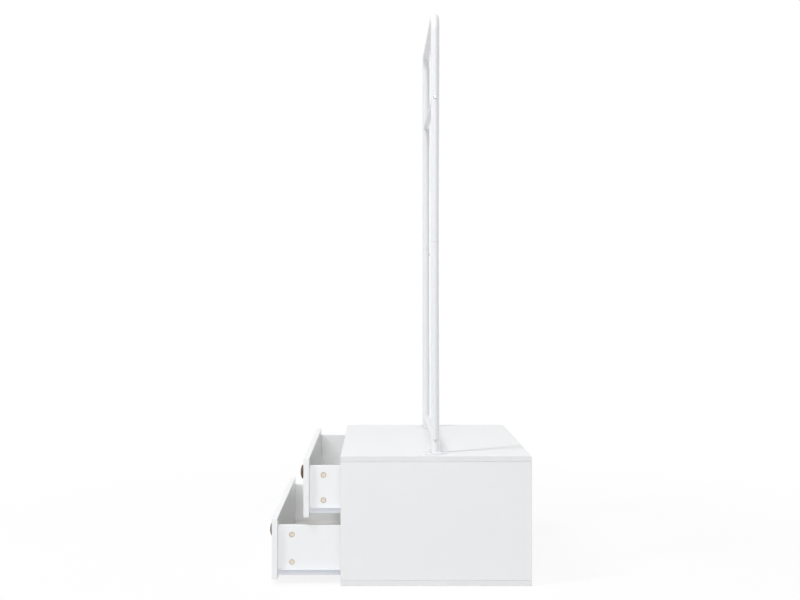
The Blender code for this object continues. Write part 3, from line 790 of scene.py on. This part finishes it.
@dataclass
class TubeRack:
    """The tube rack: an arch on two posts with foot flanges, two rails and the screws that hold them.

    Attributes:
        frame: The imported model.
        bend: Radius of the arch's bends, at the tube's middle.
        wall: Thickness of the tube.
        shoulder: Rounding of the tube ends that meet at the joint.
        flange: Thickness of a foot flange.
        flange_round: Rounding of the flange's upper edge.
        weld: Size of the weld bead between post and flange.
        joint_turn: How far the joint screws are turned to the back.
        hole_margin: Distance from a screw hole to the rings that keep its facets short.
        edge_margin: Distance from a rounding to the ring that keeps the long tube's shading even.
        rail_screw: The kind of screw that holds the rails.
        joint_screw: The kind of screw that holds the arch in the posts.
        flange_screw: The kind of screw that holds the flanges down.
    """

    frame: Frame
    bend: float = 0.048
    wall: float = 0.0012
    shoulder: float = 0.0010
    flange: float = 0.003
    flange_round: float = 0.0010
    weld: float = 0.0020
    joint_turn: float = math.radians(45)
    hole_margin: float = 0.012
    edge_margin: float = 0.0006
    rail_screw: ButtonScrew = RAIL_SCREW
    joint_screw: ButtonScrew = JOINT_SCREW
    flange_screw: ButtonScrew = FLANGE_SCREW

    def __post_init__(self) -> None:
        """Read the tube's diameter and the posts' places from the frame."""
        self.radius = self.frame.size("rack_arch").y / 2
        self.post_x = self.frame.centre("right_post").x
        self.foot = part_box("right_post")[0].z
        self.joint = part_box("right_post")[1].z

    def joint_facing(self, side: Side) -> Vector:
        """The way a joint screw's head faces."""
        return Vector((-side.value * math.cos(self.joint_turn), math.sin(self.joint_turn), 0))

    def screw_hole(self, screw: ButtonScrew) -> float:
        """The radius of the hole that a screw goes through."""
        return screw.shank / 2 + FIT_GAP

    def tube_holes(self, side: Side, rail: Vector, joint: Vector) -> list[Mesh]:
        """Shape the cutters for a rail screw, right through the tube, and a joint screw, from one side.

        Args:
            side: Which side of the rack.
            rail: The tube's middle at the rail screw.
            joint: The tube's middle at the joint screw.

        Returns:
            The two cutters.
        """
        reach = 2 * self.radius
        out = SIDEWAYS * reach
        return [
            drill(self.screw_hole(self.rail_screw), rail - out, rail + out),
            drill(self.screw_hole(self.joint_screw), joint, joint + self.joint_facing(side) * reach),
        ]

    def tube_ring(self, x: float, z: float, angle: float, radius: float) -> list[Vector]:
        """Points round the arch's tube.

        Args:
            x: The ring's middle along X.
            z: Its height.
            angle: The way out from the bend's middle.
            radius: The ring's radius.

        Returns:
            The ring's points.
        """
        outward = Vector((math.cos(angle), 0, math.sin(angle)))
        middle = Vector((x, 0, z))
        return [
            middle + radius * (outward * math.cos(turn) + Vector((0, math.sin(turn), 0)))
            for turn in even_turns(TUBE_SIDES)
        ]

    def path(self) -> list[tuple[float, float, float]]:
        """The middle of the arch from one bend's spring to the other's.

        Returns:
            Place along X, height and the way out, for each step of the two bends.
        """
        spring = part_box("rack_arch")[1].z - self.radius - self.bend
        steps = []
        for middle, first in ((self.bend - self.post_x, math.pi), (self.post_x - self.bend, QUARTER_TURN)):
            for step in range(BEND_STEPS + 1):
                angle = first - step / BEND_STEPS * QUARTER_TURN
                across, up = self.bend * math.cos(angle), self.bend * math.sin(angle)
                steps.append((middle + across, spring + up, angle))
        return steps

    def arch_mesh(self) -> Mesh:
        """Bend the arch, with a swaged spigot at each foot and the holes for its screws.

        Returns:
            The arch's mesh, in the frame.
        """
        spigot = self.radius - self.wall - FIT_GAP
        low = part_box("rack_arch")[0].z
        seat = self.joint + FIT_GAP
        nose = rounded(
            [
                (spigot, low, 0),
                (spigot, seat, 0),
                (self.radius, seat, self.shoulder),
                (self.radius, seat + self.bend, 0),
            ]
        )
        level = self.frame.centre("hanging_rail").z
        heights = (
            seat + self.shoulder + self.edge_margin,
            level - self.hole_margin,
            level + self.hole_margin,
        )
        leg = [*nose[:-1], *((self.radius, height) for height in heights)]
        bends = self.path()
        outer = [(-self.post_x, z, math.pi, r) for r, z in leg]
        outer += [(x, z, angle, self.radius) for x, z, angle in bends]
        outer += [(self.post_x, z, 0.0, r) for r, z in reversed(leg)]
        bore = spigot - self.wall
        inner = [(self.post_x, low, 0.0, bore)]
        inner += [(x, z, angle, bore) for x, z, angle in reversed(bends)]
        inner += [(-self.post_x, low, math.pi, bore)]
        holes = []
        for side in Side:
            x = side.value * self.post_x
            joint = Vector((x, 0, self.frame.centre(f"{side.word}_joint_screw").z))
            holes += self.tube_holes(side, Vector((x, 0, level)), joint)
        return cut(bridged([self.tube_ring(*station) for station in outer + inner]), holes)

    def post_mesh(self, side: Side) -> Mesh:
        """Turn a post with its foot flange and weld, and drill it.

        Args:
            side: Which post.

        Returns:
            The post's mesh, with z = 0 under the flange.
        """
        node = f"{side.word}_post"
        height = self.joint - self.foot
        rim = self.frame.size(node).x / 2
        bore = self.radius - self.wall
        lift = Vector((0, 0, self.frame.centre("lower_rail").z - self.foot))
        joint = Vector((0, 0, self.frame.centre(f"{side.word}_joint_screw").z - self.foot))
        heights = (
            self.flange + self.weld + self.edge_margin,
            lift.z - self.hole_margin,
            lift.z + self.hole_margin,
            joint.z - self.hole_margin,
            height - self.shoulder - self.edge_margin,
        )
        profile = rounded(
            [
                (bore, 0, 0),
                (rim, 0, 0),
                (rim, self.flange, self.flange_round),
                (self.radius, self.flange, self.weld),
                *((self.radius, ring, 0) for ring in heights),
                (self.radius, height, self.shoulder),
                (bore, height, 0),
            ]
        )
        holes = self.tube_holes(side, lift, joint)
        for screw in self.flange_screws(side):
            spot = self.frame.centre(screw) - self.frame.centre(node)
            # The cutter starts below the flange and ends above it
            low, high = Vector((spot.x, spot.y, -self.flange)), Vector((spot.x, spot.y, 2 * self.flange))
            holes.append(drill(self.screw_hole(self.flange_screw), low, high))
        return cut(lathe([*profile, profile[0]], TUBE_SIDES), holes)

    def flange_screws(self, side: Side) -> list[str]:
        """The nodes of a flange's screws."""
        return sorted(node for node in self.frame.nodes if node.startswith(f"{side.word}_flange_screw"))

    def rail_mesh(self, node: str) -> Mesh:
        """Shape a rail whose ends are hollowed to sit against the posts.

        Args:
            node: The rail's node.

        Returns:
            The rail's mesh, along X.
        """
        rail = self.frame.size(node).y / 2
        post = self.radius + FIT_GAP
        hole = self.screw_hole(self.rail_screw)
        rings = []
        for radius, end in ((rail, -1), (rail, 1), (hole, 1), (hole, -1)):
            ring = []
            for turn in even_turns(TUBE_SIDES):
                across = radius * math.sin(turn)
                reach = self.post_x - math.sqrt(post**2 - across**2)
                ring.append(Vector((end * reach, across, radius * math.cos(turn))))
            rings.append(ring)
        return bridged(rings)

    def add_screw(
        self, node: str, screw: ButtonScrew, seat: Vector, facing: Vector, head: float, length: float
    ) -> None:
        """Stand a finer screw in a screw's place, with its head on the seat and facing this way."""
        self.frame.replace(node, screw.mesh(head, length), ZINC_PLATE, turned_to(seat, facing))

    def dress(self) -> None:
        """Build the rack's pieces in their finishes."""
        self.frame.replace("rack_arch", self.arch_mesh(), POWDER_COAT, Matrix.Identity(4))
        for rail in ("hanging_rail", "lower_rail"):
            place = Matrix.Translation(self.frame.centre(rail))
            self.frame.replace(rail, self.rail_mesh(rail), POWDER_COAT, place)
        for side in Side:
            post = Vector((side.value * self.post_x, 0, self.foot))
            place = Matrix.Translation(post)
            self.frame.replace(f"{side.word}_post", self.post_mesh(side), POWDER_COAT, place)
            self.dress_screws(side, post)

    def dress_screws(self, side: Side, post: Vector) -> None:
        """Build the screws of one post.

        Args:
            side: Which post.
            post: The middle of its foot.
        """
        outward = Vector((side.value, 0, 0))
        for rail in ("hanging", "lower"):
            node = f"{rail}_rail_{side.word}_screw"
            box = self.frame.size(node)
            seat = Vector((post.x, 0, self.frame.centre(node).z)) + outward * (self.radius + FIT_GAP)
            self.add_screw(node, self.rail_screw, seat, outward, box.y, box.x - self.rail_screw.head_height)
        node = f"{side.word}_joint_screw"
        facing = self.joint_facing(side)
        seat = Vector((post.x, 0, self.frame.centre(node).z)) + facing * (self.radius + FIT_GAP)
        self.add_screw(node, self.joint_screw, seat, facing, self.frame.size(node).z, self.radius)
        for node in self.flange_screws(side):
            seat = self.frame.centre(node)
            seat.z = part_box(node)[1].z - self.flange_screw.head_height
            box = self.frame.size(node)
            self.add_screw(node, self.flange_screw, seat, UP, box.x, box.z - self.flange_screw.head_height)


@dataclass(frozen=True)
class Roller:
    """A moulded runner roller with a crowned tread and a hub that stands a little back.

    Attributes:
        bore: Diameter of its axle hole.
        crown: Rounding of the tread's edges.
        web_depth: How far the web lies below the rim.
        rim_width: Thickness of the rim.
        hub_width: Thickness of the hub.
    """

    bore: float = 0.0066
    crown: float = 0.0012
    web_depth: float = 0.0006
    rim_width: float = 0.0018
    hub_width: float = 0.0010

    def mesh(self, diameter: float, width: float) -> Mesh:
        """Turn the roller, centred on its width.

        Args:
            diameter: Across the tread.
            width: Along the axle.

        Returns:
            The roller's mesh.
        """
        tread, half, hole = diameter / 2, width / 2, self.bore / 2
        rim, hub = tread - self.rim_width, hole + self.hub_width
        web = half - self.web_depth
        face = [(hole, half, 0), (hub, half, 0), (hub, web, 0), (rim, web, 0), (rim, half, 0)]
        face.append((tread, half, self.crown))
        back = [(r, -z, edge) for r, z, edge in reversed(face)]
        profile = rounded(face + back)
        return lathe([*profile, profile[0]], FITTING_SIDES)


@dataclass
class Cabinet:
    """The cabinet: its boards, its back, and the runners and rollers on its side panels.

    Attributes:
        frame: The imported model.
        roller: The kind of roller on the runners.
        edging: The strips on the boards' edges.
    """

    frame: Frame
    roller: Roller = Roller()
    edging: Edging = Edging(GREY_EDGING)

    def dress(self) -> None:
        """Give the boards and runners their finishes and build the front rollers."""
        for node in ("top_board", "bottom_board"):
            self.frame.dress(node, MELAMINE)
            self.edging.glue(self.frame, node, (Face.RIGHT, Face.LEFT, Face.FRONT))
        for side in Side:
            self.frame.dress(f"{side.word}_side_panel", MELAMINE)
            self.edging.glue(self.frame, f"{side.word}_side_panel", (Face.FRONT,))
        self.frame.dress("back_panel", HARDBOARD)
        for level in Level:
            for side in Side:
                self.frame.dress(f"{level.value}_{side.word}_cabinet_runner", EPOXY_STEEL_LIFTED_AS_PAINTED_LIGHT)
                dress_roller(self.frame, self.roller, f"{level.value}_{side.word}_front_roller")


def dress_roller(frame: Frame, roller: Roller, node: str) -> None:
    """Stand a finer roller in a roller's place."""
    box = frame.size(node)
    frame.replace(node, roller.mesh(box.y, box.x), NYLON, turned_to(frame.centre(node), SIDEWAYS))


@dataclass
class Drawer:
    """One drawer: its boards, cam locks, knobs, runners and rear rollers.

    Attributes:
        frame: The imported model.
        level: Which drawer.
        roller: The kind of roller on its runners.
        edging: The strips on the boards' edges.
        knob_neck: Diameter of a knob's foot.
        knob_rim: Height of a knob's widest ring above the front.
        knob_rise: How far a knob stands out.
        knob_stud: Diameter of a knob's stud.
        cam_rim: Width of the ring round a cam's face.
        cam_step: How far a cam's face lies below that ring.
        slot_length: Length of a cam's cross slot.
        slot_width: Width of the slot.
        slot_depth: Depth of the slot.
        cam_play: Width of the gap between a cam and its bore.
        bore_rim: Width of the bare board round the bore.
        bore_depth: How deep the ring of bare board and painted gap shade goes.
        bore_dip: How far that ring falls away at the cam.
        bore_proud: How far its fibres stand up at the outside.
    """

    frame: Frame
    level: Level
    roller: Roller = Roller()
    edging: Edging = Edging(WHITE_EDGING)
    knob_neck: float = 0.020
    knob_rim: float = 0.0095
    knob_rise: float = 0.017
    knob_stud: float = 0.005
    cam_rim: float = 0.0010
    cam_step: float = 0.0004
    slot_length: float = 0.0076
    slot_width: float = 0.0013
    slot_depth: float = 0.0012
    cam_play: float = 0.0009
    bore_rim: float = 0.0003
    bore_depth: float = 0.0012
    bore_dip: float = 0.0006
    bore_proud: float = 0.0001

    def knob_mesh(self, node: str) -> Mesh:
        """Turn a knob with a flared neck and a domed face, z = 0 at its foot.

        Args:
            node: The knob's node.

        Returns:
            The knob's mesh.
        """
        neck, stud = self.knob_neck / 2, self.knob_stud / 2
        box = self.frame.size(node)
        rim = box.x / 2
        tail = box.y - self.knob_rise
        turns = [QUARTER_TURN * step / KNOB_STEPS for step in range(KNOB_STEPS + 1)]
        flare = [
            (neck + (rim - neck) * (1 - math.cos(turn)), self.knob_rim * math.sin(turn)) for turn in turns
        ]
        rise = self.knob_rise - self.knob_rim
        dome = [(rim * math.cos(turn), self.knob_rim + rise * math.sin(turn)) for turn in turns[1:-1]]
        profile = [(0.0, self.knob_rise), *reversed(dome), *reversed(flare)]
        profile += [(stud, 0.0), (stud, -tail), (0.0, -tail)]
        return lathe(profile, TUBE_SIDES)

    def cam_mesh(self, node: str) -> Mesh:
        """Shape a cam lock with a raised ring and a cross slot, z = 0 at its face.

        Args:
            node: The cam's node.

        Returns:
            The cam's mesh.
        """
        box = self.frame.size(node)
        radius, depth = box.y / 2 - self.cam_play, box.x
        inner, step = radius - self.cam_rim, self.cam_step
        profile = [(0, -step), (inner, -step), (inner, 0), (radius, 0), (radius, -depth), (0, -depth)]
        long, short = self.slot_length / 2, self.slot_width / 2
        foot, head = -self.cam_step - self.slot_depth, self.slot_depth
        arms = ((short, long), (long, short))
        slots = [prism([(-x, -y), (x, -y), (x, y), (-x, y)], foot, head) for x, y in arms]
        return cut(lathe(profile, FITTING_SIDES), slots)

    def bore_mesh(self, node: str) -> Mesh:
        """Shape the ring of bare board round a cam, whose dark tan also paints the shade in the gap at the
        cam, z = 0 at the board's face.

        Args:
            node: The cam's node.

        Returns:
            The ring's mesh.
        """
        hole = self.frame.size(node).y / 2 + FIT_GAP
        inner, outer = hole - self.cam_play, hole + self.bore_rim
        foot, proud = -self.bore_depth, self.bore_proud
        profile = [(inner, foot), (outer, foot), (outer, proud), (hole, proud), (inner, -self.bore_dip)]
        return lathe([*profile, profile[0]], FITTING_SIDES)

    def dress(self) -> None:
        """Give the boards their finishes and build the fittings."""
        word = self.level.value
        # The boards take the drawers' brighter white, painted light that lifts the shade inside them.
        for board in ("front", "right_side", "left_side", "back"):
            self.frame.dress(f"{word}_drawer_{board}", DRAWER_MELAMINE_PAINTED_LIGHT)
        self.frame.dress(f"{word}_drawer_bottom", HARDBOARD)
        front = f"{word}_drawer_front"
        self.edging.glue(self.frame, front, (Face.RIGHT, Face.LEFT, Face.TOP, Face.BOTTOM))
        for side in Side:
            self.dress_side(f"{word}_{side.word}", side)

    def dress_side(self, prefix: str, side: Side) -> None:
        """Dress the fittings of one side.

        Args:
            prefix: How the side's nodes start.
            side: Which side.
        """
        outward = Vector((side.value, 0, 0))
        board = f"{self.level.value}_drawer_{side.word}_side"
        self.edging.glue(self.frame, board, (Face.TOP,))
        self.frame.dress(f"{prefix}_drawer_runner", EPOXY_STEEL_LIFTED_AS_PAINTED_LIGHT)
        dress_roller(self.frame, self.roller, f"{prefix}_rear_roller")
        for height in ("high", "low"):
            node = f"{prefix}_{height}_cam"
            seat = self.frame.centre(node) + outward * self.frame.size(node).x / 2
            place = turned_to(seat, outward)
            self.frame.replace(node, self.cam_mesh(node), ACETAL, place)
            # The ring round the cam is bare board, and its deeper tan also paints the shade in the gap.
            self.frame.add(f"{node}_bore", self.bore_mesh(node), BARE_CHIPBOARD_AND_GAP_SHADE, place, board)
        knob = f"{prefix}_knob"
        seat = self.frame.centre(knob)
        seat.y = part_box(knob)[0].y + self.knob_rise
        self.frame.replace(knob, self.knob_mesh(knob), STAINED_BEECH, turned_to(seat, FORWARD))


@dataclass(frozen=True)
class Softbox:
    """A flat soft lamp.

    Attributes:
        name: The lamp's name.
        place: Where it stands.
        aim: The point that it faces.
        width: Its width.
        height: Its height.
        watts: Its power.
    """

    name: str
    place: tuple[float, float, float]
    aim: tuple[float, float, float]
    width: float
    height: float
    watts: float

    def build(self) -> None:
        """Hang the lamp."""
        lamp = bpy.data.lights.new(self.name, "AREA")
        lamp.shape = "RECTANGLE"
        lamp.size = self.width
        lamp.size_y = self.height
        lamp.energy = self.watts
        obj = bpy.data.objects.new(self.name, lamp)
        obj.location = self.place
        obj.rotation_euler = (Vector(self.aim) - Vector(self.place)).to_track_quat("-Z", "Y").to_euler()
        bpy.context.scene.collection.objects.link(obj)


@dataclass
class Studio:
    """The plain white studio and the photograph's camera.

    Attributes:
        sky: Strength of the light from all round.
        floor_tone: Colour of the floor for the light that it throws back.
        floor_half: Half the width of the floor.
        floor_drop: How far the floor lies below the cabinet.
        shadow_share: How much of the floor's own light and shade the camera sees near the rack.
        shadow_near: Distance at which the floor starts to fade.
        shadow_reach: Distance at which the floor has faded into the background.
        eye: Where the camera stands.
        focal_px: Its focal length, in pixels of the photograph.
        vanishing_px: Where lines along its view meet, in pixels of the photograph.
        frame_px: Size of the photograph.
        sensor_mm: Width of the camera's sensor.
        bounces: How often light is passed on from one matt surface to the next.
        lamps: The soft lamps.
    """

    sky: float = 0.50
    floor_tone: str = "DCDCDC"
    floor_half: float = 40.0
    floor_drop: float = 0.0005
    shadow_share: float = 0.15
    shadow_near: float = 0.8
    shadow_reach: float = 2.4
    eye: tuple[float, float, float] = (3.84, -0.165, 0.846)
    focal_px: float = 1204.0
    vanishing_px: tuple[float, float] = (378.5, 290.0)
    frame_px: tuple[int, int] = (800, 600)
    sensor_mm: float = 36.0
    bounces: int = 12
    lamps: tuple[Softbox, ...] = (
        Softbox("key_softbox", (2.07, -3.2, 5.4), (0.33, 0.0, 0.4), width=0.7, height=2.8, watts=146.0),
        Softbox("fill_softbox", (7.0, -0.9, 2.4), (0.0, -0.2, 0.4), width=2.6, height=2.6, watts=52.0),
        Softbox("overhead_softbox", (8.0, -0.46, 7.2), (0.0, -0.3, 0.3), width=2.6, height=2.6, watts=150.0),
        Softbox("back_softbox", (-4.5, 5.0, 1.2), (0.0, 0.0, 0.8), width=2.4, height=2.0, watts=110.0),
    )

    def seen_directly(self, tree: NodeTree) -> NodeSocket:
        """Tell rays from the camera, or by way of gloss or glass, from those that only carry light.

        Args:
            tree: The node tree that asks.

        Returns:
            A socket that is 1 for a ray that is seen.
        """
        path = add_node(tree, "ShaderNodeLightPath").outputs
        mirrored = reckoned(tree, "MAXIMUM", path["Is Glossy Ray"], path["Is Transmission Ray"])
        return reckoned(tree, "MAXIMUM", path["Is Camera Ray"], mirrored)

    def build_world(self) -> None:
        """Light the rack evenly from all round, before a white background."""
        world = bpy.data.worlds.new("white_studio")
        world.use_nodes = True
        tree = world.node_tree
        tree.nodes.clear()
        white = linear(PURE_WHITE)
        light = add_node(tree, "ShaderNodeBackground", {"Color": white, "Strength": self.sky})
        backdrop = add_node(tree, "ShaderNodeBackground", {"Color": white, "Strength": 1.0})
        mixed = add_node(
            tree,
            "ShaderNodeMixShader",
            links={0: self.seen_directly(tree), 1: light.outputs[0], 2: backdrop.outputs[0]},
        )
        add_node(tree, "ShaderNodeOutputWorld", links={"Surface": mixed.outputs[0]})
        bpy.context.scene.world = world

    def floor_material(self) -> Material:
        """Matt white paint that keeps the rack's shadow and fades into the background.

        Returns:
            The floor's material.
        """
        made = bpy.data.materials.new("floor_matt_painted")
        made.use_nodes = True
        tree = made.node_tree
        tree.nodes.clear()
        place = add_node(tree, "ShaderNodeTexCoord").outputs["Object"]
        away = add_node(tree, "ShaderNodeVectorMath", {"operation": "LENGTH"}, {0: place})
        fade = add_node(
            tree,
            "ShaderNodeMapRange",
            {
                "interpolation_type": "SMOOTHSTEP",
                "From Min": self.shadow_near,
                "From Max": self.shadow_reach,
                "To Min": 1.0 - self.shadow_share,
                "To Max": 1.0,
            },
            {"Value": away.outputs["Value"]},
        )
        seen = self.seen_directly(tree)
        share = reckoned(tree, "MULTIPLY", fade.outputs[0], seen)
        tone = mixed_tone(tree, seen, self.floor_tone, PURE_WHITE)
        paint = add_node(tree, "ShaderNodeBsdfDiffuse", links={"Color": tone})
        white = add_node(tree, "ShaderNodeEmission", {"Color": linear(PURE_WHITE), "Strength": 1.0})
        mixed = add_node(
            tree, "ShaderNodeMixShader", links={0: share, 1: paint.outputs[0], 2: white.outputs[0]}
        )
        add_node(tree, "ShaderNodeOutputMaterial", links={"Surface": mixed.outputs[0]})
        return made

    def build_floor(self) -> None:
        """Lay the floor."""
        half = self.floor_half
        mesh = bpy.data.meshes.new("floor")
        corners = [(-half, -half, 0), (half, -half, 0), (half, half, 0), (-half, half, 0)]
        mesh.from_pydata(corners, [], [(0, 1, 2, 3)])
        floor = bpy.data.objects.new("floor", mesh)
        floor.location.z = -self.floor_drop
        floor.data.materials.append(self.floor_material())
        bpy.context.scene.collection.objects.link(floor)

    def build_camera(self) -> None:
        """Stand the camera level at the cabinet's right end, looking along -X."""
        width, height = self.frame_px
        lens = bpy.data.cameras.new("camera")
        lens.sensor_width = self.sensor_mm
        lens.lens = self.focal_px / width * self.sensor_mm
        lens.shift_x = (width / 2 - self.vanishing_px[0]) / width
        lens.shift_y = (self.vanishing_px[1] - height / 2) / width
        camera = bpy.data.objects.new("camera", lens)
        camera.location = self.eye
        camera.rotation_euler = (QUARTER_TURN, 0, QUARTER_TURN)
        bpy.context.scene.collection.objects.link(camera)
        bpy.context.scene.camera = camera

    def build(self) -> None:
        """Set up the floor, the light and the camera."""
        self.build_world()
        self.build_floor()
        for lamp in self.lamps:
            lamp.build()
        self.build_camera()
        scene = bpy.context.scene
        scene.view_settings.view_transform = "Standard"
        # White boards pass light on many times inside the drawers
        scene.cycles.diffuse_bounces = self.bounces


def main() -> None:
    """Dress the frame and build the studio."""
    frame = Frame()
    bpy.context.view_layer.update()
    Cabinet(frame).dress()
    TubeRack(frame).dress()
    for level in Level:
        Drawer(frame, level).dress()
    Studio().build()


if __name__ == "__main__":
    logging.basicConfig(level=logging.INFO, format="%(message)s")
    main()
